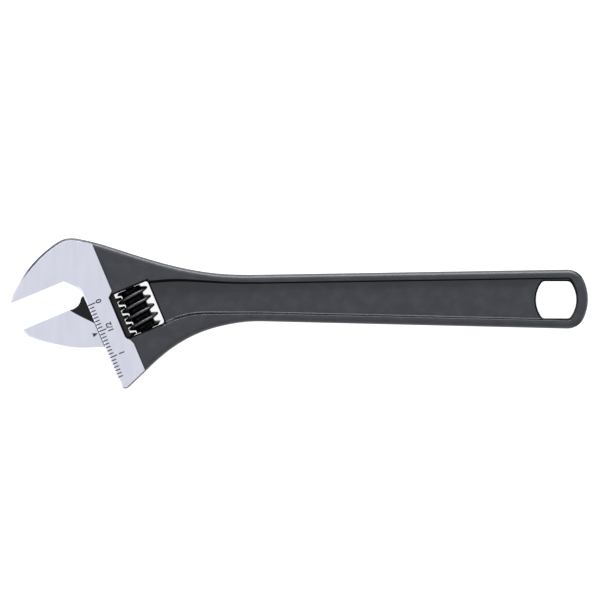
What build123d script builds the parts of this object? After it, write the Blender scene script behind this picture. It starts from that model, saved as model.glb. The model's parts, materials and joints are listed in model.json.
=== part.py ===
from build123d import *
from math import cos, radians, sin
import os

# Adjustable wrench, lying flat. All sizes are millimetres.
# X runs along the wrench from the jaws to the hang hole, Y across it, Z through its thickness.
# The origin is the middle of the bounding box, on the surface that the wrench lies on.

# ---- driving dimensions -----------------------------------------------------------------------

LENGTH = 260.0                # jaw tips to the end of the handle
HEAD_THICKNESS = 15.5         # across the two ground faces of the head
CORE_THICKNESS = 13.1         # forged body round the window
HANDLE_THICKNESS = 10.0       # across the ribs, just behind the neck
END_THICKNESS = 9.4           # across the ribs, at the hang hole
PANEL_THICKNESS = 6.2         # web between the ribs
HEAD_ANGLE = 23.0             # the jaws lean this much away from the handle
REST_OPENING = 13.1           # gap between the jaws as modelled
MAX_OPENING = 35.0            # gap with the jaw fully open

HANDLE_AXIS_Y = 7.16          # centre line of the handle
NECK_X = -16.0                # narrowest place of the handle
NECK_HALF_WIDTH = 10.55
HANDLE_TAPER = 0.0202         # growth of the half width per millimetre of length
END_BOW = 5.05                # how far the end of the handle bows out
END_CORNER_RADIUS = 8.0
HANDLE_EDGE_RADIUS = 2.3      # rounding left by the forging dies and the trimming wheel

TOE_FRONT = (0, 56.35)        # p and s of the toe's two corners
TOE_REAR = (17, 49.88)
TOE_POINT_RADIUS = 2.0
BROW = (7.8, -15.0)           # the handle's back runs into the fixed jaw's back here
FIXED_JAW_TIP = (-31.27, -0.9)

RAIL_P = 9.8                  # centre of the jaw's round rail behind the front line of the body
RAIL_RADIUS = 5.5
RAIL_CLEARANCE = 0.2
RAIL_TOP = -7.6               # ends of the rail, measured from the moving face
RAIL_BOTTOM = 22.0
WEB_THICKNESS = 6.0
WEB_TOP = -3.5                # the web reaches this far above the moving face
SLOT_TOP = -4.1               # and its slot this far above the fixed face
WEB_CLEARANCE = 0.2
JAW_BACK_GAP = 0.15           # thick part of the jaw to the front line of the body

LEAD = 4.2                    # travel of the jaw for one turn of the knurl
KNURL_P = 20.45               # axis of the knurl behind the front line of the body
KNURL_RADIUS = 7.55
KNURL_ROOT_RADIUS = 4.75
KNURL_CREST = 1.2             # width of the thread's crest and of its foot
KNURL_FOOT = 2.4
KNURL_RIDGE_S = 16.9          # where the first ridge crosses the handle side of the knurl
KNURL_END_GAP = 0.2
KNURL_END_RADIUS = 5.5        # the thread's ends are turned down to this radius
KNURL_END_CHAMFER = 1.6
THREAD_DIP = 0.5              # the ridge is rooted this deep in the drum

WINDOW_P = (11.0, 29.0)       # window for the knurl, along and across the head
WINDOW_S = (14.3, 34.8)
WINDOW_CORNER = 1.2

RACK_ROOT_P = 12.75           # bottom of the gaps between the rack teeth
RACK_GAP_ROOT = 2.3           # width of a gap at its bottom and at the tooth tips
RACK_GAP_TIP = 3.4
RACK_BACKLASH = 0.3           # the jaw hangs this far towards open on the thread

PIN_RADIUS = 2.0
PIN_HEAD_RADIUS = 3.25
PIN_TOP = 8.4                 # blind end of the pin
PIN_BOTTOM = 46.6             # slotted end of the pin
PIN_SHOULDER = 35.6           # where the shank meets the threaded head
PIN_CLEARANCE = 0.08
PIN_END_GAP = 0.2
PIN_CHAMFER = 0.4

SPRING_WIRE_RADIUS = 0.35
SPRING_RADIUS = 2.75          # to the middle of the wire
SPRING_SEAT_RADIUS = 3.35
SPRING_SEAT_DEPTH = 5.0

PANEL_NECK_HALF = 6.45        # half width of the panel's floor at the neck
PANEL_TAPER = 0.0200
PANEL_FLOOR_RADIUS = 0.7
PANEL_LIP_RADIUS = 0.45
PANEL_CORNER_RADIUS = 2.0
PANEL_WALL_LEAN = 1.6         # how far the panel's walls lean out over their full height

HOLE_LEFT_X = 106.5           # hang hole: its bowed ends and its flat sides
HOLE_RIGHT_X = 124.8
HOLE_BOW = 3.05
HOLE_Y = 6.8                  # it sits a little low between the ribs
HOLE_HALF_HEIGHT = 8.34
HOLE_CORNER_RADIUS = 2.0

PAD_EDGE_P = 12.6             # rear border of the ground faces, with a notch beside the window
PAD_NOTCH_P = 10.1
PAD_STEP = 1.8                # how far each end of the notch slants past the window
BACK_EDGE_RADIUS = 1.3        # forged outline that the grinding leaves on the jaw's back
TOE_EDGE_RADIUS = 0.7
JAW_EDGE_RADIUS = 0.9

RAIL_END_CHAMFER = 2.0
RAIL_FOOT_CHAMFER = 0.8
BORE_END_GAP = 0.6
TOE_BEYOND = 66.0             # cutters run out past the toe
CUTTER = 80.0                 # size of a cutter where only one of its sides matters
PIN_SLOT_WIDTH = 1.0
PIN_SLOT_DEPTH = 1.3
SPRING_TURNS = 5.5
SPRING_SEAT_GAP = 0.06

MID = HEAD_THICKNESS / 2
HEAD_ORIGIN = (-100.87, 16.62)
CORE_START_P = 8.0            # the core ends here, inside the thicker ground pad
PANEL_END_X = HOLE_RIGHT_X - HOLE_BOW

os.makedirs("parts", exist_ok=True)


# ---- the head's own directions ------------------------------------------------------------------
# p runs from the jaw tips towards the handle and is 0 on the front line of the body.
# s runs from the fixed jaw's face, where it is 0, towards the toe, which is the way the jaw opens.

def head_xy(p, s):
    """X and Y of the point p, s of the head."""
    x = HEAD_ORIGIN[0] + p * cos(radians(HEAD_ANGLE)) + s * sin(radians(HEAD_ANGLE))
    y = HEAD_ORIGIN[1] + p * sin(radians(HEAD_ANGLE)) - s * cos(radians(HEAD_ANGLE))
    return (x, y)


def head_plane(p, s):
    """Mid-thickness plane at p, s whose x is p and whose y is s."""
    along = (cos(radians(HEAD_ANGLE)), sin(radians(HEAD_ANGLE)), 0)
    return Plane(origin=(*head_xy(p, s), MID), x_dir=along, z_dir=(0, 0, -1))


def across_plane(p, s):
    """Plane square to the opening direction, whose x is p and whose y is the thickness."""
    along = (cos(radians(HEAD_ANGLE)), sin(radians(HEAD_ANGLE)), 0)
    opening = (sin(radians(HEAD_ANGLE)), -cos(radians(HEAD_ANGLE)), 0)
    return Plane(origin=(*head_xy(p, s), MID), x_dir=along, z_dir=opening)


def opening_direction():
    """Unit vector of +s, the way the jaw opens."""
    return (sin(radians(HEAD_ANGLE)), -cos(radians(HEAD_ANGLE)), 0)


def handle_half_width(x):
    return NECK_HALF_WIDTH + HANDLE_TAPER * (x - NECK_X)


def panel_half_width(x):
    return PANEL_NECK_HALF + PANEL_TAPER * (x - NECK_X)


def on_upper_rim(edge):
    """Edges round the upper face of the core, apart from where the pad covers its front."""
    middle = edge @ 0.5
    tangent = edge % 0.5
    if middle.Z < MID + 3 or abs(tangent.Z) > 0.5:
        return False
    crosses_handle = edge.geom_type == GeomType.LINE and abs(tangent.Y) > 0.95
    along_front = abs(tangent.Y + cos(radians(HEAD_ANGLE))) < 0.01
    along_front = along_front or abs(tangent.Y - cos(radians(HEAD_ANGLE))) < 0.01
    return not crosses_handle and not (along_front and edge.geom_type == GeomType.LINE)


HEAD = head_plane(0, 0)
JAW = head_plane(0, REST_OPENING)
FLAT = Plane.XY.offset(MID)


# ---- wrench body: one drop forging with the fixed jaw, the head and the handle --------------------

END_X = LENGTH / 2
CORNER_X = END_X - END_BOW
UPPER = HANDLE_AXIS_Y + handle_half_width(NECK_X)
LOWER = HANDLE_AXIS_Y - handle_half_width(NECK_X)
UPPER_END = HANDLE_AXIS_Y + handle_half_width(CORNER_X)
LOWER_END = HANDLE_AXIS_Y - handle_half_width(CORNER_X)

with BuildSketch(FLAT) as silhouette:
    with BuildLine():
        Line(head_xy(-31.1, 0), head_xy(-5.75, 0))
        Line(head_xy(-5.75, 0), head_xy(-1.7, 4.2))
        ThreePointArc(head_xy(-1.7, 4.2), head_xy(-0.5, 6.2), head_xy(0, 8.6))
        Line(head_xy(0, 8.6), head_xy(*TOE_FRONT))
        toe_edge = Line(head_xy(*TOE_FRONT), head_xy(*TOE_REAR))
        Spline(
            toe_edge @ 1,
            (-55.0, -14.04),
            (-42.9, -7.89),
            (-30.8, -4.64),
            (NECK_X, LOWER),
            tangents=[toe_edge % 1, (1, -HANDLE_TAPER)],
        )
        Line((NECK_X, LOWER), (CORNER_X, LOWER_END))
        ThreePointArc((CORNER_X, LOWER_END), (END_X, HANDLE_AXIS_Y), (CORNER_X, UPPER_END))
        Line((CORNER_X, UPPER_END), (NECK_X, UPPER))
        Spline(
            (NECK_X, UPPER),
            (-34.9, 17.96),
            (-51.1, 20.26),
            (-67.3, 24.31),
            (-84.5, 29.66),
            head_xy(*BROW),
            tangents=[(-1, -HANDLE_TAPER), (-0.98, 0.18)],
        )
        Spline(
            head_xy(*BROW),
            head_xy(2.1, -17.3),
            head_xy(-4.7, -16.5),
            head_xy(-13.3, -13.6),
            head_xy(-20.1, -10.05),
            head_xy(-26.2, -5.75),
            head_xy(-29.4, -2.95),
            head_xy(*FIXED_JAW_TIP),
            tangents=[(-0.98, 0.18), (-0.42, -0.91)],
        )
        Line(head_xy(*FIXED_JAW_TIP), head_xy(-31.1, 0))
    make_face()
    ends = silhouette.vertices().filter_by(lambda v: abs(v.X - CORNER_X) < 0.01)
    fillet(ends, END_CORNER_RADIUS)
    toe_point = silhouette.vertices().sort_by_distance((*head_xy(*TOE_FRONT), MID))[0]
    fillet(toe_point, TOE_POINT_RADIUS)


def head_ps(point):
    """p and s of a point, the reverse of head_xy."""
    dx = point.X - HEAD_ORIGIN[0]
    dy = point.Y - HEAD_ORIGIN[1]
    p = dx * cos(radians(HEAD_ANGLE)) + dy * sin(radians(HEAD_ANGLE))
    s = dx * sin(radians(HEAD_ANGLE)) - dy * cos(radians(HEAD_ANGLE))
    return (p, s)


def on_forged_outline(edge):
    """Face edges of the pad on the back of the fixed jaw and on the toe."""
    middle = edge @ 0.5
    p, s = head_ps(middle)
    on_face = abs(abs(middle.Z - MID) - HEAD_THICKNESS / 2) < 0.01
    return on_face and (s < -1.5 or s > 53.6) and p < PAD_EDGE_P - 0.1


def on_jaw_back(edge):
    """Face edges of the sliding jaw on its outer curve."""
    on_face = abs(abs((edge @ 0.5).Z - MID) - HEAD_THICKNESS / 2) < 0.01
    return on_face and edge.length > 35


def on_panel_floor(edge):
    """Edges where the panel's floor meets its long walls and its end wall."""
    middle = edge @ 0.5
    on_floor = abs(middle.Z - MID - PANEL_THICKNESS / 2) < 0.01
    return on_floor and (edge.length > 25 or middle.X > HOLE_RIGHT_X)


def is_panel_wall(face):
    """The long drafted walls of the panel and its end wall."""
    lean = face.normal_at().Z
    in_panel = face.center().Z > MID + PANEL_THICKNESS / 2 and face.center().X > -62
    return in_panel and 0.25 < lean < 0.42


def on_panel_lip(edge):
    """Upper edges of the panel's walls."""
    return (edge @ 0.5).Z > MID + 4.6 and abs((edge % 0.5).Z) < 0.3


def panel_outline(plane, grow):
    """Outline of the recessed panel on a plane, its walls moved outwards by grow."""
    neck_half = panel_half_width(NECK_X) + grow
    end_half = panel_half_width(PANEL_END_X) + grow
    with BuildSketch(plane) as outline:
        with BuildLine():
            upper_line = Spline(
                head_xy(27, 14.8 - grow),
                (-60.0, 14.26 + grow),
                (-38.0, 13.81 + grow),
                (NECK_X, HANDLE_AXIS_Y + neck_half),
                tangents=[(1, 0), (1, PANEL_TAPER)],
            )
            upper_run = Line(upper_line @ 1, (PANEL_END_X, HANDLE_AXIS_Y + end_half))
            end_low = (PANEL_END_X, HANDLE_AXIS_Y - end_half)
            ThreePointArc(upper_run @ 1, (HOLE_RIGHT_X + 0.3 + grow, HANDLE_AXIS_Y), end_low)
            lower_run = Line(end_low, (NECK_X, HANDLE_AXIS_Y - neck_half))
            lower_line = Spline(
                lower_run @ 1,
                (-33.0, 0.66 - grow),
                (-44.0, 0.61 - grow),
                (-53.0, -0.89 - grow),
                head_xy(27, 35.0 + grow),
                tangents=[(-1, PANEL_TAPER), (-0.85, -0.53)],
            )
            Line(lower_line @ 1, upper_line @ 0)
        make_face()
        ends = outline.vertices().filter_by(lambda v: abs(v.X - PANEL_END_X) < 0.01)
        fillet(ends, PANEL_CORNER_RADIUS + grow)
    return outline.sketch.face()


# One half of the body, above mid-thickness. The other half is its mirror image.
# The forged core thins from the head down to the handle.
with BuildPart() as wrench_body:
    extrude(silhouette.sketch, amount=CORE_THICKNESS / 2)
    with BuildSketch(Plane.XZ):
        with BuildLine():
            head_top = Line((-110, MID + CORE_THICKNESS / 2), (-72, MID + CORE_THICKNESS / 2))
            neck_top = Spline(
                head_top @ 1,
                (-10, MID + HANDLE_THICKNESS / 2),
                tangents=[(1, 0), (1, -0.002)],
            )
            handle_top = Line(neck_top @ 1, (END_X + 1, MID + END_THICKNESS / 2))
            Polyline(handle_top @ 1, (END_X + 1, MID), (-110, MID), head_top @ 0)
        make_face()
    extrude(amount=CUTTER, both=True, mode=Mode.INTERSECT)
    with BuildSketch(HEAD):
        with Locations((CORE_START_P - CUTTER / 2, 0)):
            Rectangle(CUTTER, 2 * CUTTER)
    extrude(amount=HEAD_THICKNESS, both=True, mode=Mode.SUBTRACT)
    rim = wrench_body.edges().filter_by(on_upper_rim)
    fillet(rim, HANDLE_EDGE_RADIUS)

    # panel between the ribs, with drafted walls that meet its floor in a soft corner
    panel_floor = panel_outline(FLAT.offset(PANEL_THICKNESS / 2), 0)
    panel_mouth = panel_outline(FLAT.offset(HEAD_THICKNESS / 2), PANEL_WALL_LEAN)
    loft([panel_floor, panel_mouth], mode=Mode.SUBTRACT)
    floor_line = wrench_body.edges().filter_by(on_panel_floor)
    fillet(floor_line, PANEL_FLOOR_RADIUS)
    # window for the knurl
    with BuildSketch(HEAD) as window:
        with Locations(((WINDOW_P[0] + WINDOW_P[1]) / 2, (WINDOW_S[0] + WINDOW_S[1]) / 2)):
            RectangleRounded(WINDOW_P[1] - WINDOW_P[0], WINDOW_S[1] - WINDOW_S[0], WINDOW_CORNER)
    extrude(amount=HEAD_THICKNESS, both=True, mode=Mode.SUBTRACT)
    walls = wrench_body.faces().filter_by(is_panel_wall)
    fillet(walls.edges().filter_by(on_panel_lip), PANEL_LIP_RADIUS)

    # hang hole through the end of the panel
    with BuildSketch(FLAT) as hang_hole:
        with BuildLine():
            flat_start = HOLE_LEFT_X + HOLE_BOW
            flat_end = HOLE_RIGHT_X - HOLE_BOW
            high = HOLE_Y + HOLE_HALF_HEIGHT
            low = HOLE_Y - HOLE_HALF_HEIGHT
            Line((flat_start, high), (flat_end, high))
            ThreePointArc((flat_end, high), (HOLE_RIGHT_X, HOLE_Y), (flat_end, low))
            Line((flat_end, low), (flat_start, low))
            ThreePointArc((flat_start, low), (HOLE_LEFT_X, HOLE_Y), (flat_start, high))
        make_face()
        fillet(hang_hole.vertices(), HOLE_CORNER_RADIUS)
    extrude(amount=HEAD_THICKNESS, both=True, mode=Mode.SUBTRACT)

    # both faces alike
    mirror(about=FLAT)

# the ground faces of the head stand above the forging: fixed jaw and the strip beside the window
with BuildPart() as ground_pad:
    extrude(silhouette.sketch, amount=HEAD_THICKNESS / 2, both=True)
    with BuildSketch(HEAD):
        Polygon(
            (-CUTTER, -CUTTER),
            (PAD_EDGE_P, -CUTTER),
            (PAD_EDGE_P, WINDOW_S[0] - PAD_STEP),
            (PAD_NOTCH_P, WINDOW_S[0] + 0.4),
            (PAD_NOTCH_P, WINDOW_S[1] - 1.2),
            (PAD_NOTCH_P + 0.5, WINDOW_S[1] + 0.1),
            (PAD_NOTCH_P + 1.6, WINDOW_S[1] + 1.1),
            (PAD_EDGE_P, WINDOW_S[1] + 3.2),
            (PAD_EDGE_P, CUTTER),
            (-CUTTER, CUTTER),
            align=None,
        )
    extrude(amount=HEAD_THICKNESS, both=True, mode=Mode.INTERSECT)
    back_edges = ground_pad.edges().filter_by(on_forged_outline).filter_by(lambda edge: (edge @ 0.5).Y > 0)
    fillet(back_edges, BACK_EDGE_RADIUS)
    toe_edges = ground_pad.edges().filter_by(on_forged_outline).filter_by(lambda edge: (edge @ 0.5).Y < 0)
    fillet(toe_edges, TOE_EDGE_RADIUS)

with BuildPart() as body_machining:
    # blind bore for the jaw's rail, open at the toe
    with BuildSketch(HEAD):
        bore_radius = RAIL_RADIUS + RAIL_CLEARANCE
        bore_end = RAIL_TOP - BORE_END_GAP
        Polygon(
            (RAIL_P, bore_end),
            (RAIL_P + bore_radius - RAIL_END_CHAMFER, bore_end),
            (RAIL_P + bore_radius, bore_end + RAIL_END_CHAMFER),
            (RAIL_P + bore_radius, TOE_BEYOND),
            (RAIL_P, TOE_BEYOND),
            align=None,
        )
    revolve(axis=Axis((*head_xy(RAIL_P, 0), MID), opening_direction()))
    # slot for the jaw's web, from the throat to the toe
    with BuildSketch(HEAD):
        with BuildLine():
            slot_end = Spline((-7.4, 0.6), (-4.4, -0.8), (-2.0, -2.5), (-1.0, -3.7), (0.6, SLOT_TOP))
            Polyline(
                slot_end @ 1,
                (RAIL_P, SLOT_TOP),
                (RAIL_P, TOE_BEYOND),
                (-3, TOE_BEYOND),
                (-3, 14),
                (-7.4, 9),
                slot_end @ 0,
            )
        make_face()
    extrude(amount=WEB_THICKNESS / 2 + WEB_CLEARANCE, both=True)
    # stepped hole for the knurl's pin, drilled from the lower edge
    with BuildSketch(HEAD):
        Polygon(
            (KNURL_P, PIN_TOP - PIN_END_GAP),
            (KNURL_P + PIN_RADIUS, PIN_TOP - PIN_END_GAP),
            (KNURL_P + PIN_RADIUS, PIN_SHOULDER),
            (KNURL_P + PIN_HEAD_RADIUS, PIN_SHOULDER),
            (KNURL_P + PIN_HEAD_RADIUS, TOE_BEYOND),
            (KNURL_P, TOE_BEYOND),
            align=None,
        )
    revolve(axis=Axis((*head_xy(KNURL_P, 0), MID), opening_direction()))

with wrench_body:
    add(ground_pad.part)
    add(body_machining.part, mode=Mode.SUBTRACT)

wrench_body.part.label = "wrench_body"
export_step(wrench_body.part, "parts/wrench_body.step")


# ---- sliding jaw: thick jaw, web, round rail and rack, all one piece --------------------------------

with BuildPart() as sliding_jaw:
    with BuildSketch(JAW):
        with BuildLine():
            Line((-31.0, 0), (-8.3, 0))
            heel = Spline((-8.3, 0), (-4.0, 5.4), (-JAW_BACK_GAP, 9.8), tangents=[(0.6, 0.8), (0.62, 0.78)])
            Line(heel @ 1, (-JAW_BACK_GAP, 21.4))
            Spline(
                (-JAW_BACK_GAP, 21.4),
                (-10.6, 17.4),
                (-19.9, 11.8),
                (-28.7, 4.8),
                (-31.2, 1.3),
                tangents=[(-0.93, -0.37), (-0.35, -0.94)],
            )
            Line((-31.2, 1.3), (-31.0, 0))
        make_face()
    extrude(amount=HEAD_THICKNESS / 2, both=True)
    worn_jaw = sliding_jaw.edges().filter_by(on_jaw_back)
    fillet(worn_jaw, JAW_EDGE_RADIUS)
    # web that passes through the slot of the body
    with BuildSketch(JAW):
        with BuildLine():
            web_top = Spline((-8.3, 0), (-6.0, 0.1), (-4.2, -0.35), (-2.5, -1.6), (-1.4, -3.0), (0.2, WEB_TOP))
            Polyline(
                web_top @ 1,
                (RAIL_P, WEB_TOP),
                (RAIL_P, RAIL_BOTTOM - 0.4),
                (0, RAIL_BOTTOM - 1.0),
                (-2, 19),
                (-8.3, 2),
                web_top @ 0,
            )
        make_face()
    extrude(amount=WEB_THICKNESS / 2, both=True)
    # rail, a plain round bar that fills the bore
    with BuildSketch(JAW):
        Polygon(
            (RAIL_P, RAIL_TOP),
            (RAIL_P + RAIL_RADIUS - RAIL_END_CHAMFER, RAIL_TOP),
            (RAIL_P + RAIL_RADIUS, RAIL_TOP + RAIL_END_CHAMFER),
            (RAIL_P + RAIL_RADIUS, RAIL_BOTTOM - RAIL_FOOT_CHAMFER),
            (RAIL_P + RAIL_RADIUS - RAIL_FOOT_CHAMFER, RAIL_BOTTOM),
            (RAIL_P, RAIL_BOTTOM),
            align=None,
        )
    revolve(axis=Axis((*head_xy(RAIL_P, 0), MID), opening_direction()))
    # rack teeth: gaps cut square across the rail, one lead apart
    first_gap = KNURL_RIDGE_S + LEAD / 2 + RACK_BACKLASH - REST_OPENING
    with BuildSketch(JAW):
        for turn in range(-4, 5):
            middle = first_gap + turn * LEAD
            if RAIL_TOP - 1.5 < middle < RAIL_BOTTOM + 1.5:
                beyond = RACK_GAP_TIP + (RACK_GAP_TIP - RACK_GAP_ROOT) / 3
                Polygon(
                    (RACK_ROOT_P, middle - RACK_GAP_ROOT / 2),
                    (RACK_ROOT_P, middle + RACK_GAP_ROOT / 2),
                    (RACK_ROOT_P + 4, middle + beyond / 2),
                    (RACK_ROOT_P + 4, middle - beyond / 2),
                    align=None,
                )
    extrude(amount=RAIL_RADIUS, both=True, mode=Mode.SUBTRACT)

sliding_jaw.part.label = "sliding_jaw"
export_step(sliding_jaw.part, "parts/sliding_jaw.step")


# ---- adjusting knurl: a drum with one right-hand thread, bored for the pin and the spring -----------
# It is made upright, with its lower end towards the jaws' opening direction.

KNURL_TOP = WINDOW_S[0] + KNURL_END_GAP
KNURL_LENGTH = WINDOW_S[1] - WINDOW_S[0] - 2 * KNURL_END_GAP
THREAD_START = KNURL_RIDGE_S - 2 * LEAD - KNURL_TOP

THREAD_SLOPE = (KNURL_FOOT - KNURL_CREST) / (KNURL_RADIUS - KNURL_ROOT_RADIUS)
DIP_WIDTH = KNURL_FOOT + THREAD_DIP * THREAD_SLOPE

with BuildPart() as upright_knurl:
    with BuildLine():
        dip_radius = KNURL_ROOT_RADIUS - THREAD_DIP
        thread_path = Helix(LEAD, KNURL_LENGTH + 3 * LEAD, dip_radius, center=(0, 0, THREAD_START))
    with BuildSketch(Plane.XZ):
        Polygon(
            (dip_radius, THREAD_START - DIP_WIDTH / 2),
            (KNURL_RADIUS, THREAD_START - KNURL_CREST / 2),
            (KNURL_RADIUS, THREAD_START + KNURL_CREST / 2),
            (dip_radius, THREAD_START + DIP_WIDTH / 2),
            align=None,
        )
    sweep(path=thread_path, is_frenet=True)
    with BuildSketch(Plane.XY.offset(THREAD_START - LEAD)):
        Circle(KNURL_ROOT_RADIUS)
    extrude(amount=KNURL_LENGTH + 5 * LEAD)
    # the ends are faced off square and the thread is turned down towards them
    chamfer_slope = (KNURL_RADIUS - KNURL_END_RADIUS) / KNURL_END_CHAMFER
    beyond_chamfer = KNURL_END_CHAMFER + 1 / chamfer_slope
    with BuildSketch(Plane.XZ):
        Polygon(
            (0, 0),
            (KNURL_END_RADIUS, 0),
            (KNURL_RADIUS + 1, beyond_chamfer),
            (KNURL_RADIUS + 1, KNURL_LENGTH - beyond_chamfer),
            (KNURL_END_RADIUS, KNURL_LENGTH),
            (0, KNURL_LENGTH),
            align=None,
        )
    revolve(axis=Axis.Z, mode=Mode.INTERSECT)
    with BuildSketch():
        Circle(PIN_RADIUS + PIN_CLEARANCE)
    extrude(amount=KNURL_LENGTH, mode=Mode.SUBTRACT)
    with BuildSketch(Plane.XY.offset(KNURL_LENGTH - SPRING_SEAT_DEPTH)):
        Circle(SPRING_SEAT_RADIUS)
    extrude(amount=SPRING_SEAT_DEPTH, mode=Mode.SUBTRACT)

with BuildPart() as adjusting_knurl:
    add(across_plane(KNURL_P, KNURL_TOP).location * upright_knurl.part)

adjusting_knurl.part.label = "adjusting_knurl"
export_step(adjusting_knurl.part, "parts/adjusting_knurl.step")


# ---- knurl pin: plain shank and a slotted head that closes the hole -----------------------------------

with BuildPart() as knurl_pin:
    with BuildSketch(HEAD):
        Polygon(
            (KNURL_P, PIN_TOP),
            (KNURL_P + PIN_RADIUS - PIN_CHAMFER, PIN_TOP),
            (KNURL_P + PIN_RADIUS, PIN_TOP + PIN_CHAMFER),
            (KNURL_P + PIN_RADIUS, PIN_SHOULDER),
            (KNURL_P + PIN_HEAD_RADIUS, PIN_SHOULDER),
            (KNURL_P + PIN_HEAD_RADIUS, PIN_BOTTOM - PIN_CHAMFER),
            (KNURL_P + PIN_HEAD_RADIUS - PIN_CHAMFER, PIN_BOTTOM),
            (KNURL_P, PIN_BOTTOM),
            align=None,
        )
    revolve(axis=Axis((*head_xy(KNURL_P, 0), MID), opening_direction()))
    # screwdriver slot
    with BuildSketch(HEAD):
        with Locations((KNURL_P, PIN_BOTTOM)):
            Rectangle(PIN_SLOT_WIDTH, 2 * PIN_SLOT_DEPTH)
    extrude(amount=2 * PIN_HEAD_RADIUS, both=True, mode=Mode.SUBTRACT)

knurl_pin.part.label = "knurl_pin"
export_step(knurl_pin.part, "parts/knurl_pin.step")


# ---- knurl spring: takes up the knurl's end play, so that the setting holds ------------------------------
# Its last coils are ground flat. It is made upright, in the seat of the knurl.

SPRING_LENGTH = SPRING_SEAT_DEPTH + KNURL_END_GAP - SPRING_SEAT_GAP
SPRING_PITCH = SPRING_LENGTH / SPRING_TURNS

with BuildPart() as upright_spring:
    with BuildLine():
        coil = Helix(SPRING_PITCH, SPRING_LENGTH, SPRING_RADIUS)
    with BuildSketch(Plane.XZ):
        with Locations((SPRING_RADIUS, 0)):
            Circle(SPRING_WIRE_RADIUS)
    sweep(path=coil, is_frenet=True)
    with BuildSketch():
        Circle(SPRING_SEAT_RADIUS)
    extrude(amount=SPRING_LENGTH, mode=Mode.INTERSECT)

with BuildPart() as knurl_spring:
    add(across_plane(KNURL_P, WINDOW_S[1] - SPRING_LENGTH).location * upright_spring.part)

knurl_spring.part.label = "knurl_spring"
export_step(knurl_spring.part, "parts/knurl_spring.step")
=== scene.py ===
# %% [markdown]
# # An adjustable wrench
# The five real pieces of the wrench come from its CAD model and are never moved here. This lesson gives
# them their finishes, rebuilds the knurl as a finer surface, adds the etched scale, and lights the wrench
# as a tool lying on a pale sheet. Lengths are written in millimetres and turned to metres by one
# constant.

# %% Load the frame
import json
import math

import bpy
import numpy as np
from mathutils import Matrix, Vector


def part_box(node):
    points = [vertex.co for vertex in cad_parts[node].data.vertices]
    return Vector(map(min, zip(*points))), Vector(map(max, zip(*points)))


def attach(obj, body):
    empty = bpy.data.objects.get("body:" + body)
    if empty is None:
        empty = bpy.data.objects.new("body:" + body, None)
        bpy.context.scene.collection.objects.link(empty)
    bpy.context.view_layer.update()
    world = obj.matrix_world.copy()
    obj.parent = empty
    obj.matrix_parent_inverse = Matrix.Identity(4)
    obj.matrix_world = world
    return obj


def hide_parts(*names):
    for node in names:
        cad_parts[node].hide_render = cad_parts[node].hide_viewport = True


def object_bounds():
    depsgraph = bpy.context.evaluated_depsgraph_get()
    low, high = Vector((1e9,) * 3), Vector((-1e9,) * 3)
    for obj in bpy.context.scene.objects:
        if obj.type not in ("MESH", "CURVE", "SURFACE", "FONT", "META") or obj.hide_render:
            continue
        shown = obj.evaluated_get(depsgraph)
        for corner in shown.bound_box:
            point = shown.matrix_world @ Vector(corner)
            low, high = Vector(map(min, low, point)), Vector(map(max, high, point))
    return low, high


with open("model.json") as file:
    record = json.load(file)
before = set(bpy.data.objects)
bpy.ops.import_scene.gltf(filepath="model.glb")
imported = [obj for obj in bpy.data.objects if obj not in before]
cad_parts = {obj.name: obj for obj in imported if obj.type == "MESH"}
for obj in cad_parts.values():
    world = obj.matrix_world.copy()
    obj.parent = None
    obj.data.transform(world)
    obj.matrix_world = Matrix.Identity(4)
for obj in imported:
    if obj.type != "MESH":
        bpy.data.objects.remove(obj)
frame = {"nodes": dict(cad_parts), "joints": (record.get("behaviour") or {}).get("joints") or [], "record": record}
cad_low, cad_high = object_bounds()
MM = 0.001
joints = {joint["name"]: joint for joint in frame["joints"]}
mounts = {mount["name"]: mount for mount in frame["record"]["mounts"]}

# %% [markdown]
# ## The head has its own directions
# The jaws lean away from the handle, so almost every feature of the head is easier to place along two
# slanted directions: p runs from the jaw tips to the handle and is 0 on the front line of the body, and s
# runs the way the jaw opens and is 0 on the fixed jaw's face. Both come from the joints, so they can't
# drift from the CAD.

# %% Head directions, taken from the joints and the fixed jaw's mount
UP = np.array([0.0, 0.0, 1.0])
ALONG_S = np.array(joints["jaw_slide"]["axis"], float)
ALONG_P = np.cross(UP, ALONG_S)
KNURL_AXIS_P = 20.45 * MM          # the knurl's axis lies this far behind the front line
knurl_centre = np.array(joints["knurl_spin"]["pos_m"], float)
fixed_face = np.array(mounts["fixed_jaw_face"]["pos_m"], float)
sliding_face = np.array(mounts["sliding_jaw_face"]["pos_m"], float)
KNURL_S = float((knurl_centre - fixed_face) @ ALONG_S)
HEAD_ORIGIN = knurl_centre - KNURL_AXIS_P * ALONG_P - KNURL_S * ALONG_S
REST_OPENING = float((sliding_face - fixed_face) @ ALONG_S)
MID_Z = float(knurl_centre[2])
HEAD_TILT = math.atan2(ALONG_P[1], ALONG_P[0])
TOP_Z = float(cad_high[2])


def head_points(p, s, z):
    """Points in space from arrays of p, s and z: the origin, plus p and s along their directions."""
    p, s, z = np.broadcast_arrays(p, s, z)
    flat = HEAD_ORIGIN * [1, 1, 0]
    return flat + p[..., None] * ALONG_P + s[..., None] * ALONG_S + z[..., None] * UP


print("rest opening %.1f mm, head tilt %.1f degrees" % (REST_OPENING / MM, math.degrees(HEAD_TILT)))

# %% [markdown]
# ## Tools for surfaces and for materials
# A surface here is a grid of points worked out with numpy. The grid can close on itself in either
# direction, which leaves no seam and no open pole. Materials are node trees, and one small function adds
# any kind of node.

# %% Mesh helpers
def placed(name, data):
    """A new object for a mesh, curve, light or camera, standing at the origin of the scene."""
    piece = bpy.data.objects.new(name, data)
    bpy.context.scene.collection.objects.link(piece)
    return piece


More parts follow.
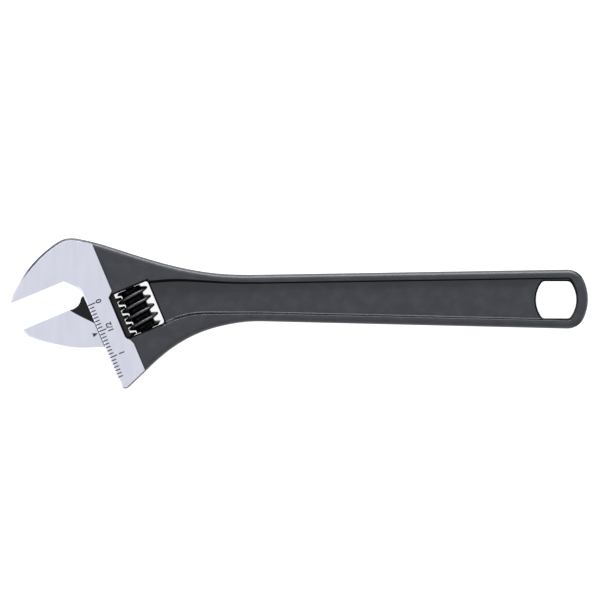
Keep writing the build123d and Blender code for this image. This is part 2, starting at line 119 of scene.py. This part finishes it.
def mesh_object(name, points, faces):
    """A mesh object from an array of points, and an array or a list of faces."""
    mesh = bpy.data.meshes.new(name)
    faces = faces if isinstance(faces, list) else faces.tolist()
    mesh.from_pydata(np.asarray(points, float).reshape(-1, 3).tolist(), [], faces)
    return placed(name, mesh)


def grid_faces(rows, columns, close_rows, close_columns):
    """Quads between neighbours of a grid; a closed direction joins its last line to its first."""
    row = np.arange(rows if close_rows else rows - 1)
    column = np.arange(columns if close_columns else columns - 1)
    r, c = np.meshgrid(row, column, indexing="ij")
    r2, c2 = (r + 1) % rows, (c + 1) % columns
    corners = (r * columns + c, r * columns + c2, r2 * columns + c2, r2 * columns + c)
    return np.stack(corners, axis=-1).reshape(-1, 4)


def smooth_shade(piece, degrees):
    """Smooth shading, with edges sharper than the angle kept crisp."""
    piece.data.polygons.foreach_set("use_smooth", [True] * len(piece.data.polygons))
    piece.data.set_sharp_from_angle(angle=math.radians(degrees))


# %% Material helpers
def linear(hex_colour):
    """The linear red, green, blue and alpha of an sRGB colour written as six hex digits."""
    srgb = np.array([int(hex_colour[i:i + 2], 16) for i in (0, 2, 4)]) / 255
    low, high = srgb / 12.92, ((srgb + 0.055) / 1.055) ** 2.4
    return (*np.where(srgb <= 0.04045, low, high).tolist(), 1.0)


def add_node(tree, kind, sockets=None, **settings):
    """Adds a node with its properties; sockets maps an input to a value or to another node's output."""
    node = tree.nodes.new(kind)
    for name, value in settings.items():
        setattr(node, name, value)
    for key, value in (sockets or {}).items():
        if isinstance(value, bpy.types.NodeSocket):
            tree.links.new(value, node.inputs[key])
        else:
            node.inputs[key].default_value = value
    return node


def new_material(name):
    """An empty node material and its tree, with the shader and the output already joined."""
    material = bpy.data.materials.new(name)
    material.use_nodes = True
    tree = material.node_tree
    tree.nodes.clear()
    shader = add_node(tree, "ShaderNodeBsdfPrincipled")
    add_node(tree, "ShaderNodeOutputMaterial", {"Surface": shader.outputs["BSDF"]})
    return material, tree, shader


def step_up(tree, value, low, high):
    """0 below low and 1 above high, with a smooth rise between them."""
    rise = add_node(tree, "ShaderNodeMapRange", {"Value": value, "From Min": low, "From Max": high},
                    interpolation_type="SMOOTHSTEP")
    return rise.outputs["Result"]


def arithmetic(tree, operation, first, second=0.0, third=0.0):
    """One step of arithmetic on up to three values."""
    return add_node(tree, "ShaderNodeMath", {0: first, 1: second, 2: third}, operation=operation).outputs[0]


def mix_colours(tree, factor, first, second):
    """first where factor is 0 and second where it is 1."""
    node = add_node(tree, "ShaderNodeMix", data_type="RGBA")
    for socket, value in ((node.inputs[0], factor), (node.inputs[6], first), (node.inputs[7], second)):
        if isinstance(value, bpy.types.NodeSocket):
            tree.links.new(value, socket)
        else:
            socket.default_value = value
    return node.outputs[2]


def noise(tree, coordinates, grain_mm, detail=3.0, roughness=0.5):
    """Noise whose blobs are about grain_mm across."""
    sockets = {"Vector": coordinates, "Scale": 1 / (grain_mm * MM), "Detail": detail, "Roughness": roughness}
    return add_node(tree, "ShaderNodeTexNoise", sockets).outputs["Fac"]


def head_coordinates(tree):
    """Object coordinates turned so that x is p, y is minus s and z is the height over mid-thickness."""
    place = add_node(tree, "ShaderNodeTexCoord").outputs["Object"]
    c, s = math.cos(HEAD_TILT), math.sin(HEAD_TILT)
    x, y = HEAD_ORIGIN[0], HEAD_ORIGIN[1]
    shift = (-(x * c + y * s), x * s - y * c, -MID_Z)
    turned = add_node(tree, "ShaderNodeMapping",
                      {"Vector": place, "Location": shift, "Rotation": (0, 0, -HEAD_TILT)}).outputs["Vector"]
    parts = add_node(tree, "ShaderNodeSeparateXYZ", {"Vector": turned}).outputs
    return place, parts["X"], parts["Y"], parts["Z"]


def stretched(tree, place, mm_x, mm_y, mm_z):
    """Coordinates counted in grains of mm_x by mm_y by mm_z, for brushed and ground lines."""
    scale = (1 / (mm_x * MM), 1 / (mm_y * MM), 1 / (mm_z * MM))
    return add_node(tree, "ShaderNodeMapping", {"Vector": place, "Scale": scale}).outputs["Vector"]


# %% [markdown]
# ## Black phosphate and ground steel on one forging
# The body is one drop forging. It is blackened all over with a manganese phosphate, a dull, slightly blue
# and faintly grainy black, and then the two faces of the head and the jaw faces are ground, which cuts
# the black away and leaves bright satin steel. Two materials on two pieces would need a seam that the
# real tool doesn't have, so one material holds both finishes, and a mask worked out from the place on the
# wrench picks one.

# %% Colours of the finishes
PHOSPHATE = linear("1B1E25")
PHOSPHATE_WORN = linear("25282F")
GROUND_STEEL = linear("D3D4DF")
GROUND_SHADE = linear("CFD0DC")
TRIMMED_EDGE = linear("303237")
# painted shade for the panel's steep walls and the rims of the window and the hang hole
RECESS_PAINTED_SHADE = linear("151517")
JAW_BLACK_AND_PAINTED_SHADE = linear("08080A")       # the jaw's real black, made darker than the body's as painted shade for the web in its slot, and duller
JAW_BLACK_AND_PAINTED_SHADE_WORN = linear("0D0E10")
HEAD_HALF = TOP_Z - MID_Z          # ground faces lie this far from mid-thickness
BLACK_ROUGHNESS, BLACK_GRAIN = 0.34, 0.12          # the smoothest spot, and what the grain adds
GROUND_ROUGHNESS, GROUND_LINES = 0.30, 0.16        # the same for the ground faces and their lines
RELIEF_STRENGTH, RELIEF_HEIGHT = 0.35, 0.02 * MM
FLASH_HALF, FLASH_RAGGED = 1.3 * MM, 1.2 * MM      # half width of the trimmed band, and how far it wanders
print("ground faces %.2f mm from mid-thickness" % (HEAD_HALF / MM))

# %% [markdown]
# ## Oil in the corners
# The steep walls of the handle's panel, and the edges of the window and of the hang hole, get painted
# shade: there the forging is coloured darker and wetter, as if in shadow. It could be painted by hand on
# an attribute, but simple shapes say it well: a band along the handle, a rectangle, and the overlap of
# two circles and a band. The painted shade is a nearly black metal, because that leaves no pale
# reflection of the room.

# %% Sizes of the places with painted shade
NECK_X, HANDLE_AXIS_Y = -16.0 * MM, 7.16 * MM
PANEL_REACH = 8.6 * MM             # at the neck, from the axis to a line past the panel but short of the rim
PANEL_REACH_GROWTH = 0.025         # and how that line moves out with the distance from the neck
PANEL_SPAN = (28.0 * MM, 99.0 * MM)                # middle and half length
WINDOW_P, WINDOW_MINUS_S = (20.0 * MM, 9.0 * MM), (-24.55 * MM, 10.25 * MM)
HOLE_X, HOLE_Y = (float(value) for value in mounts["hang_hole"]["pos_m"][:2])
HOLE_HALF_LENGTH, HOLE_HALF_HEIGHT, HOLE_BOW = 9.15 * MM, 8.34 * MM, 3.05 * MM
HOLE_BOW_RADIUS = (HOLE_HALF_HEIGHT**2 + HOLE_BOW**2) / (2 * HOLE_BOW)
HOLE_CENTRE_OFFSET = HOLE_BOW_RADIUS - HOLE_HALF_LENGTH
# how far the painted shade reaches round the window and the hang hole
PAINTED_SHADE_RIM = 0.75 * MM
print("hang hole bowed to a radius of %.1f mm" % (HOLE_BOW_RADIUS / MM))


# %% Masks that read the direction of the surface and the place on it
def flatness(tree):
    """1 where the surface lies flat, either way up, and 0 where it stands upright."""
    normal = add_node(tree, "ShaderNodeTexCoord").outputs["Normal"]
    upward = add_node(tree, "ShaderNodeSeparateXYZ", {"Vector": normal}).outputs["Z"]
    return arithmetic(tree, "ABSOLUTE", upward)


def trimmed_edge(tree, height, lines):
    """A ragged band along the middle of the upright sides, where the forging's flash was trimmed."""
    from_middle = arithmetic(tree, "ABSOLUTE", height)
    ragged = arithmetic(tree, "MULTIPLY_ADD", lines, FLASH_RAGGED, from_middle)
    band = arithmetic(tree, "SUBTRACT", 1.0, step_up(tree, ragged, FLASH_HALF, FLASH_HALF + 0.4 * MM))
    return arithmetic(tree, "MULTIPLY", band, arithmetic(tree, "LESS_THAN", flatness(tree), 0.3))


def outside_band(tree, value, middle, half):
    """How far a value is outside middle plus or minus half; it is negative inside."""
    from_middle = arithmetic(tree, "ABSOLUTE", arithmetic(tree, "SUBTRACT", value, middle))
    return arithmetic(tree, "SUBTRACT", from_middle, half)


def beyond_circle(tree, place, centre_x):
    """How far a point is outside one of the two circles that bow the ends of the hang hole."""
    flat = add_node(tree, "ShaderNodeVectorMath", {0: place, 1: (1, 1, 0)}, operation="MULTIPLY").outputs[0]
    reach = add_node(tree, "ShaderNodeVectorMath", {0: flat, 1: (centre_x, HOLE_Y, 0)}, operation="DISTANCE")
    return arithmetic(tree, "SUBTRACT", reach.outputs["Value"], HOLE_BOW_RADIUS)


def painted_recess_shade(tree, place, p, minus_s):
    """1 where shade is painted: the panel's steep walls, and a thin line round the window and the hang hole."""
    along = add_node(tree, "ShaderNodeSeparateXYZ", {"Vector": place}).outputs
    # steep, and nearer to the handle's axis than its outer edges are
    steep = arithmetic(tree, "SUBTRACT", 1.0, step_up(tree, flatness(tree), 0.62, 0.80))
    from_neck = arithmetic(tree, "ABSOLUTE", arithmetic(tree, "SUBTRACT", along["X"], NECK_X))
    reach = arithmetic(tree, "MULTIPLY_ADD", from_neck, PANEL_REACH_GROWTH, PANEL_REACH)
    inside = arithmetic(tree, "LESS_THAN", outside_band(tree, along["Y"], HANDLE_AXIS_Y, reach), 0.0)
    in_length = arithmetic(tree, "LESS_THAN", outside_band(tree, along["X"], *PANEL_SPAN), 0.0)
    walls = arithmetic(tree, "MULTIPLY", steep, arithmetic(tree, "MULTIPLY", inside, in_length))
    # the window is a rectangle in p and s; the hang hole is what two circles and a band have in common
    window = arithmetic(tree, "MAXIMUM", outside_band(tree, p, *WINDOW_P),
                        outside_band(tree, minus_s, *WINDOW_MINUS_S))
    circles = arithmetic(tree, "MAXIMUM", beyond_circle(tree, place, HOLE_X - HOLE_CENTRE_OFFSET),
                         beyond_circle(tree, place, HOLE_X + HOLE_CENTRE_OFFSET))
    hole = arithmetic(tree, "MAXIMUM", circles, outside_band(tree, along["Y"], HOLE_Y, HOLE_HALF_HEIGHT))
    rims = arithmetic(tree, "LESS_THAN", arithmetic(tree, "MINIMUM", window, hole), PAINTED_SHADE_RIM)
    return arithmetic(tree, "MAXIMUM", walls, rims)


# %% The finish of the two forgings
def phosphate_and_ground(name, bright_mask, dark=PHOSPHATE, dark_worn=PHOSPHATE_WORN, gloss=0.5, paints_recess_shade=True):
    """Steel that is phosphate black where bright_mask is 0 and ground bright where it is 1."""
    material, tree, shader = new_material(name)
    place, p, minus_s, height = head_coordinates(tree)
    mask = bright_mask(tree, p, height)
    metal = mask
    mottle = noise(tree, place, 5.0, detail=4.0)
    grain = noise(tree, place, 0.45, detail=2.0)
    lines = noise(tree, stretched(tree, place, 0.35, 9.0, 0.35), 1.0 / MM, detail=2.0)
    patches = noise(tree, stretched(tree, place, 3.0, 16.0, 3.0), 1.0 / MM, detail=1.0)
    # black is cloudy, and lighter where the flash was trimmed; bright has faint bands from the grinding wheel
    black = mix_colours(tree, step_up(tree, mottle, 0.35, 0.75), dark, dark_worn)
    bright = mix_colours(tree, step_up(tree, patches, 0.3, 0.7), GROUND_SHADE, GROUND_STEEL)
    black = mix_colours(tree, trimmed_edge(tree, height, lines), black, TRIMMED_EDGE)
    # painted shade: the recesses turn near-black metal, standing in for their shadow
    if paints_recess_shade:
        recess_shade = painted_recess_shade(tree, place, p, minus_s)
        black = mix_colours(tree, recess_shade, black, RECESS_PAINTED_SHADE)
        metal = arithmetic(tree, "MAXIMUM", mask, recess_shade)
    colour = mix_colours(tree, mask, black, bright)
    tree.links.new(colour, shader.inputs["Base Color"])
    tree.links.new(metal, shader.inputs["Metallic"])
    shader.inputs["Specular IOR Level"].default_value = gloss
    rough_black = arithmetic(tree, "MULTIPLY_ADD", grain, BLACK_GRAIN, BLACK_ROUGHNESS)
    rough_bright = arithmetic(tree, "MULTIPLY_ADD", lines, GROUND_LINES, GROUND_ROUGHNESS)
    rough = add_node(tree, "ShaderNodeMix", {0: mask, 2: rough_black, 3: rough_bright})
    tree.links.new(rough.outputs[0], shader.inputs["Roughness"])
    relief = add_node(tree, "ShaderNodeMix", {0: mask, 2: grain, 3: lines})
    bump = add_node(tree, "ShaderNodeBump", {"Height": relief.outputs[0], "Strength": RELIEF_STRENGTH,
                                             "Distance": RELIEF_HEIGHT})
    tree.links.new(bump.outputs["Normal"], shader.inputs["Normal"])
    return material


# %% [markdown]
# ## Which surfaces are ground
# The grinder reaches the flat faces of the head, and the milling cutter reaches the jaw face, the throat
# and the front line. The backs of both jaws keep their black, and so do the slot, the web and the rail. A
# surface's place and the way it looks tell these apart, so each piece has a mask of its own, built from
# the same few questions.

# %% Where each piece is bright
SLOT_START_P, WEB_START_P = -6.2 * MM, -8.35 * MM            # the slot and the web begin behind these lines
SLOT_HALF = 3.12 * MM              # above the slot's walls, and above the web
BACK_ROUNDING, JAW_ROUNDING = 1.35 * MM, 0.95 * MM           # how far the rounded edges reach down
FACE_DEPTH = (0.09 * MM, 0.03 * MM)          # grinding fades out between these depths under the flat faces
BODY_FRONT_P, JAW_FRONT_P = 0.5 * MM, -0.1 * MM              # nothing behind these lines is milled
RUBBED_TIP_P = (-27.0 * MM, -17.0 * MM)      # the fixed jaw's back is rubbed bright up to the first line


def facing_open(tree):
    """How much the surface looks the way the jaw opens: 1 on the fixed jaw's face, -1 on its back."""
    normal = add_node(tree, "ShaderNodeTexCoord").outputs["Normal"]
    sockets = {0: normal, 1: ALONG_S.tolist()}
    return add_node(tree, "ShaderNodeVectorMath", sockets, operation="DOT_PRODUCT").outputs["Value"]


def clear_of_slot(tree, p, away, start_p):
    """1 everywhere but in the slot, or on the web, which fill the middle of the thickness behind start_p."""
    outside = arithmetic(tree, "GREATER_THAN", away, SLOT_HALF)
    return arithmetic(tree, "MAXIMUM", outside, arithmetic(tree, "LESS_THAN", p, start_p))


def body_bright(tree, p, height):
    """The head's flat faces, and the milled front: jaw face, throat and front line."""
    away = arithmetic(tree, "ABSOLUTE", height)
    faces = step_up(tree, away, *(HEAD_HALF - depth for depth in FACE_DEPTH))
    faces_opening = arithmetic(tree, "GREATER_THAN", facing_open(tree), -0.2)
    in_front = arithmetic(tree, "LESS_THAN", p, BODY_FRONT_P)
    milled = arithmetic(tree, "MULTIPLY", arithmetic(tree, "MULTIPLY", faces_opening, in_front),
                        clear_of_slot(tree, p, away, SLOT_START_P))
    # use rubs the rounded back near the tip, and less and less of it up to the second line
    near_tip = arithmetic(tree, "SUBTRACT", 1.0, step_up(tree, p, *RUBBED_TIP_P))
    rounded = arithmetic(tree, "GREATER_THAN", away, HEAD_HALF - BACK_ROUNDING)
    rubbed = arithmetic(tree, "MULTIPLY", near_tip, rounded)
    return arithmetic(tree, "MAXIMUM", arithmetic(tree, "MAXIMUM", faces, milled), rubbed)


def jaw_bright(tree, p, height):
    """The thick jaw's flat faces, rounded edges and working face, but not its back, web, rail and rack."""
    away = arithmetic(tree, "ABSOLUTE", height)
    not_back = arithmetic(tree, "LESS_THAN", facing_open(tree), 0.3)
    near_face = arithmetic(tree, "GREATER_THAN", away, HEAD_HALF - JAW_ROUNDING)
    in_front = arithmetic(tree, "LESS_THAN", p, JAW_FRONT_P)
    thick = arithmetic(tree, "MULTIPLY", in_front, clear_of_slot(tree, p, away, WEB_START_P))
    return arithmetic(tree, "MULTIPLY", thick, arithmetic(tree, "MAXIMUM", not_back, near_face))


body_steel = phosphate_and_ground("phosphated_forging_with_ground_head", body_bright)
jaw_steel = phosphate_and_ground("phosphated_jaw_ground_bright_with_painted_shade", jaw_bright, JAW_BLACK_AND_PAINTED_SHADE, JAW_BLACK_AND_PAINTED_SHADE_WORN,
                                 gloss=0.25, paints_recess_shade=False)


def dress(node, material):
    """Gives a CAD node its material."""
    slots = frame["nodes"][node].data.materials
    slots.clear()
    slots.append(material)


dress("wrench_body", body_steel)
dress("sliding_jaw", jaw_steel)
print("forging and jaw dressed as", body_steel.name, "and", jaw_steel.name)

# %% [markdown]
# ## The knurl, a screw of one surface
# The knurl is turned from bar, threaded with one coarse right-hand ridge that meshes with the jaw's rack,
# drilled for its pin, counterbored for the spring and oiled black. A lathe profile can't make it, because
# its radius depends on the angle as well as on the length. So the profile is carried round the axis as a
# closed loop, down the outside and back up the bore, and its outer part swells where the ridge passes.
# Both directions of the grid close on themselves, so the surface has no seam.

# %% Knurl surface
KNURL_TOP_S, KNURL_END_S = 14.5 * MM, 34.6 * MM
LEAD = 4.2 * MM                    # from one turn of the ridge to the next, and the jaw's travel in a turn
RIDGE_S = 16.9 * MM                # where the ridge passes the handle side
CREST_RADIUS, ROOT_RADIUS = 7.55 * MM, 4.75 * MM
CREST_HALF, FOOT_HALF = 0.6 * MM, 1.2 * MM
END_RADIUS, END_CHAMFER = 5.5 * MM, 1.6 * MM
BORE_RADIUS, SEAT_RADIUS, SEAT_S = 2.08 * MM, 3.35 * MM, 29.6 * MM
EDGE_ROUNDING = 0.16 * MM


def ridge_radius(angle, s):
    """Radius over the drum: a soft trapezium of the distance from s to the nearest turn of the ridge."""
    turn = (s - RIDGE_S) / LEAD - angle / (2 * math.pi)
    distance = np.abs(turn - np.round(turn)) * LEAD
    rise = (FOOT_HALF - distance) / (FOOT_HALF - CREST_HALF)
    softness = EDGE_ROUNDING / (FOOT_HALF - CREST_HALF)
    upper = np.logaddexp(0, rise / softness) - np.logaddexp(0, (rise - 1) / softness)
    return ROOT_RADIUS + (CREST_RADIUS - ROOT_RADIUS) * softness * upper


def knurl_surface(turns=256, steps=170):
    """Points at angle a and loop position: radius times the direction at a, plus s along the axis."""
    angle = np.linspace(0, 2 * math.pi, turns, endpoint=False)[:, None]
    outer_s = np.linspace(KNURL_TOP_S, KNURL_END_S, steps)[None, :]
    outer_r = ridge_radius(angle, outer_s)
    from_end = np.minimum(outer_s - KNURL_TOP_S, KNURL_END_S - outer_s)
    outer_r = np.minimum(outer_r, END_RADIUS + from_end * (CREST_RADIUS - END_RADIUS) / END_CHAMFER)
    inner_r = np.array([SEAT_RADIUS + 0.2 * MM, SEAT_RADIUS, SEAT_RADIUS, SEAT_RADIUS, BORE_RADIUS,
                        BORE_RADIUS, BORE_RADIUS, BORE_RADIUS, BORE_RADIUS + 0.3 * MM])
    inner_s = np.array([KNURL_END_S, KNURL_END_S - 0.2 * MM, (KNURL_END_S + SEAT_S) / 2, SEAT_S, SEAT_S,
                        24.5 * MM, 19.5 * MM, KNURL_TOP_S + 0.3 * MM, KNURL_TOP_S])
    radius = np.hstack([outer_r, np.broadcast_to(inner_r, (turns, len(inner_r)))])
    s = np.broadcast_to(np.hstack([outer_s[0], inner_s]), radius.shape)
    points = head_points(KNURL_AXIS_P + radius * np.cos(angle), s, MID_Z + radius * np.sin(angle))
    return points, grid_faces(*radius.shape, True, True)


def solid_volume(piece):
    """Volume enclosed by the faces, by the divergence theorem; it is negative when they point inwards."""
    mesh = piece.data
    mesh.calc_loop_triangles()
    corner = np.array([vertex.co for vertex in mesh.vertices])
    index = np.array([triangle.vertices for triangle in mesh.loop_triangles])
    a, b, c = corner[index[:, 0]], corner[index[:, 1]], corner[index[:, 2]]
    return float(np.einsum("ij,ij->i", a, np.cross(b, c)).sum() / 6)


def face_outwards(piece):
    """Turns every face over when the enclosed volume is negative, and prints the volume."""
    if solid_volume(piece) < 0:
        piece.data.flip_normals()
    size = "%.1f mm3" % (solid_volume(piece) / MM**3)
    print(piece.name, size, len(piece.data.loop_triangles), "triangles")


knurl = mesh_object("knurl_screw", *knurl_surface())
face_outwards(knurl)
smooth_shade(knurl, 40)

# %% [markdown]
# ## Oil-blackened steel for the small turned parts
# The knurl and the pin are blackened in hot salts and oiled. That black is deeper and shinier than the
# phosphate. Its colour turns greyer with the distance from the knurl's axis, which paints shade into the
# knurl's roots and a highlight on its crests.

# %% Small parts' materials
BLACK_OXIDE = linear("121213")
# grey of the painted highlight, reached at the outer radius
BLACK_OXIDE_CREST_HIGHLIGHT = linear("55565A")
SPRING_STEEL = linear("9A9B9E")


def distance_from_axis(tree):
    """Distance from the knurl's axis, which runs along s through KNURL_AXIS_P at mid-thickness."""
    place, p, _, height = head_coordinates(tree)
    across = arithmetic(tree, "SUBTRACT", p, KNURL_AXIS_P)
    squares = arithmetic(tree, "ADD", arithmetic(tree, "MULTIPLY", across, across),
                         arithmetic(tree, "MULTIPLY", height, height))
    return place, arithmetic(tree, "SQRT", squares)


def black_oxide_with_painted_light(name, root_radius, highlight_radius):
    """Oiled steel with fine turning marks; painted shade black at one radius, painted highlight grey at another.
    """
    material, tree, shader = new_material(name)
    place, radius = distance_from_axis(tree)
    # painted highlight: greyer away from the axis, so the crests look lit and the roots shaded
    rubbed = step_up(tree, radius, root_radius, highlight_radius)
    patchy_highlight = arithmetic(tree, "MULTIPLY", rubbed, step_up(tree, noise(tree, place, 1.2), 0.1, 0.6))
    tree.links.new(mix_colours(tree, patchy_highlight, BLACK_OXIDE, BLACK_OXIDE_CREST_HIGHLIGHT), shader.inputs["Base Color"])
    shader.inputs["Metallic"].default_value = 1.0
    shader.inputs["Roughness"].default_value = 0.42
    turning = noise(tree, place, 0.3, detail=2.0)
    bump = add_node(tree, "ShaderNodeBump", {"Height": turning, "Strength": 0.25, "Distance": 0.015 * MM})
    tree.links.new(bump.outputs["Normal"], shader.inputs["Normal"])
    return material


def spring_wire(name):
    """Bright drawn spring steel, faintly clouded by its tempering."""
    material, tree, shader = new_material(name)
    place = add_node(tree, "ShaderNodeTexCoord").outputs["Object"]
    cloud = noise(tree, place, 1.5)
    tree.links.new(mix_colours(tree, cloud, linear("7C7D80"), SPRING_STEEL), shader.inputs["Base Color"])
    shader.inputs["Metallic"].default_value = 1.0
    shader.inputs["Roughness"].default_value = 0.28
    return material


knurl.data.materials.append(black_oxide_with_painted_light("oil_blackened_knurl_steel", ROOT_RADIUS + 0.8 * MM, CREST_RADIUS))
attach(knurl, "knurl")
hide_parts("adjusting_knurl")
dress("adjusting_knurl", knurl.data.materials[0])
dress("knurl_pin", black_oxide_with_painted_light("oil_blackened_pin_steel", 0.0, 3.25 * MM))
dress("knurl_spring", spring_wire("tempered_spring_wire"))
print("knurl, pin and spring dressed")

# %% [markdown]
# ## The opening scale
# The scale is etched into the ground border beside the jaw, in sixteenths of an inch, and filled black.
# Every mark is a flat plate here, two hundredths of a millimetre proud, which keeps its edges crisp from
# any distance. The pointer sits on the jaw and rides with it.

# %% Etched marks
MARK_PROUD, MARK_SUNK = 0.02 * MM, 0.06 * MM
SIXTEENTH = 25.4 / 16 * MM
SCALE_ZERO_S = 14.5 * MM
STROKE_GROWTH = 0.09 * MM          # the etching spreads, so the numerals are bolder than their outlines
TICKS = 23                         # from 0 to 1 3/8 inch, with both ends counted
TICK_HALF_WIDTH = 0.25 * MM
TICK_START_P, SHORT_END_P, LONG_END_P = 0.3 * MM, 2.6 * MM, 3.8 * MM
BOX_FACES = np.array([[0, 1, 2, 3], [7, 6, 5, 4], [0, 4, 5, 1], [1, 5, 6, 2], [2, 6, 7, 3], [3, 7, 4, 0]])


def etched_fill(name):
    """Black filling of an etched line, slightly uneven, matt."""
    material, tree, shader = new_material(name)
    place = add_node(tree, "ShaderNodeTexCoord").outputs["Object"]
    uneven = noise(tree, place, 0.6)
    colour = mix_colours(tree, uneven, linear("08080A"), linear("1C1D20"))
    tree.links.new(colour, shader.inputs["Base Color"])
    shader.inputs["Roughness"].default_value = 0.6
    return material


def tick_plates():
    """One thin box per mark: four corners in p and s, at two heights, with every eighth mark longer."""
    count = np.arange(TICKS)
    middle = SCALE_ZERO_S + count * SIXTEENTH
    end = np.where(count % 8 == 0, LONG_END_P, SHORT_END_P)
    start = np.full(TICKS, TICK_START_P)
    p = np.stack([start, end, end, start] * 2, axis=1)
    side = TICK_HALF_WIDTH * np.array([-1, -1, 1, 1] * 2)
    z = TOP_Z + np.array([-MARK_SUNK] * 4 + [MARK_PROUD] * 4)
    points = head_points(p, middle[:, None] + side, z)
    faces = BOX_FACES + 8 * count[:, None, None]
    return points, faces.reshape(-1, 4)


etch = etched_fill("black_filled_etching")
ticks = mesh_object("scale_ticks", *tick_plates())
face_outwards(ticks)


def numeral(name, text, p, s, height=2.5 * MM):
    """A numeral cut as a plate centred on p and s, its baseline along minus s, its top towards the jaws."""
    curve = bpy.data.curves.new(name, "FONT")
    curve.body, curve.size, curve.extrude = text, height / 0.7, (MARK_PROUD + MARK_SUNK) / 2
    curve.align_x, curve.align_y, curve.resolution_u = "CENTER", "CENTER", 6
    curve.offset = STROKE_GROWTH
    flat = placed(name + "_curve", curve)
    bpy.context.view_layer.update()
    mesh = bpy.data.meshes.new_from_object(flat.evaluated_get(bpy.context.evaluated_depsgraph_get()))
    bpy.data.objects.remove(flat)
    local = np.array([vertex.co for vertex in mesh.vertices])
    local[:, :2] -= (local.max(0) + local.min(0))[:2] / 2
    z = TOP_Z + (MARK_PROUD - MARK_SUNK) / 2 + local[:, 2]
    mesh.vertices.foreach_set("co", head_points(p - local[:, 1], s - local[:, 0], z).ravel())
    return placed(name, mesh)


numerals = [numeral("numeral_zero", "0", 5.4 * MM, 14.4 * MM),
            numeral("numeral_half", "1/2", 5.5 * MM, 26.8 * MM),
            numeral("numeral_one", "1", 6.0 * MM, 39.8 * MM)]
for mark in [ticks] + numerals:
    mark.data.materials.clear()
    mark.data.materials.append(etch)
    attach(mark, "body")
print(TICKS, "marks and", len(numerals), "numerals")

# %% Pointer on the jaw
POINTER_S = REST_OPENING + SCALE_ZERO_S
POINTER_TIP_P, POINTER_BASE_P, POINTER_HALF = -0.35 * MM, -2.85 * MM, 0.95 * MM
JAW_TOP_Z = float(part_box("sliding_jaw")[1][2])


def pointer_plate():
    """A three-cornered plate: a tip towards the scale and a base behind it, at two heights."""
    p = np.array([POINTER_TIP_P, POINTER_BASE_P, POINTER_BASE_P] * 2)
    s = POINTER_S + POINTER_HALF * np.array([0, -1, 1] * 2)
    z = JAW_TOP_Z + np.array([-MARK_SUNK] * 3 + [MARK_PROUD] * 3)
    faces = [[0, 2, 1], [3, 4, 5], [0, 1, 4, 3], [1, 2, 5, 4], [2, 0, 3, 5]]
    return head_points(p, s, z), faces


pointer = mesh_object("jaw_pointer", *pointer_plate())
face_outwards(pointer)
pointer.data.materials.append(etch)
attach(pointer, "jaw")

# %% [markdown]
# ## A pale sheet, soft light and a long lens
# The wrench lies flat and is seen from straight above with a long lens, which keeps its outline true to
# size. A bright, even room gives the ground faces one tone, as a light tent would. A strip beyond the upper
# edge draws a thin line of light down the handle, and a small softbox fills in from the lower left.

# %% Sheet
SHEET_HALF = 4.0                   # metres from the middle to each edge
floor = mesh_object("pale_sheet", SHEET_HALF * np.array([[-1, -1, 0], [1, -1, 0], [1, 1, 0], [-1, 1, 0]]),
                    [[0, 1, 2, 3]])
sheet_paper, sheet_tree, sheet_shader = new_material("matt_white_paper")
paper_place = add_node(sheet_tree, "ShaderNodeTexCoord").outputs["Object"]
paper_cloud = noise(sheet_tree, paper_place, 8.0)
paper = mix_colours(sheet_tree, paper_cloud, linear("A6A6A6"), linear("ABABAB"))
sheet_tree.links.new(paper, sheet_shader.inputs["Base Color"])
sheet_shader.inputs["Roughness"].default_value = 0.9
sheet_shader.inputs["Specular IOR Level"].default_value = 0.1
sheet_shader.inputs["Emission Color"].default_value = (1, 1, 1, 1)
sheet_shader.inputs["Emission Strength"].default_value = 0.9     # lit from below, which drowns the shadow
floor.data.materials.append(sheet_paper)
print("sheet %.0f m wide" % (2 * SHEET_HALF))

# %% World and lights
world = bpy.data.worlds.new("soft_room")
bpy.context.scene.world = world
world.use_nodes = True
room = world.node_tree.nodes["Background"]
room.inputs["Color"].default_value = (0.97, 0.98, 1.0, 1)
room.inputs["Strength"].default_value = 0.95


def softbox(name, place, width, length, watts):
    """A rectangular area light at place, aimed at the middle of the wrench."""
    lamp = bpy.data.lights.new(name, "AREA")
    lamp.shape, lamp.size, lamp.size_y, lamp.energy = "RECTANGLE", width, length, watts
    light = placed(name, lamp)
    light.location = place
    light.rotation_euler = (-light.location).to_track_quat("-Z", "Y").to_euler()


softbox("strip_above_the_handle", (0, 1.1, 0.42), 1.6, 0.32, 29.5)
softbox("fill_low_left", (-0.9, -0.5, 0.9), 0.6, 0.6, 3.0)
print("two softboxes and a soft room")

# %% Camera
LENS_MM, SENSOR_MM = 500.0, 36.0
VIEW_WIDTH = 0.2703                # metres across the picture
camera = placed("camera_above", bpy.data.cameras.new("camera_above"))
camera.data.lens, camera.data.sensor_width = LENS_MM, SENSOR_MM
distance = VIEW_WIDTH * LENS_MM / SENSOR_MM
camera.location = (0.3 * MM, 6.31 * MM, MID_Z + distance)
camera.rotation_euler = (0, 0, math.radians(0.21))
camera.data.clip_end = 20
bpy.context.scene.camera = camera
bpy.context.scene.view_settings.view_transform = "Standard"
print("camera %.2f m above" % distance)
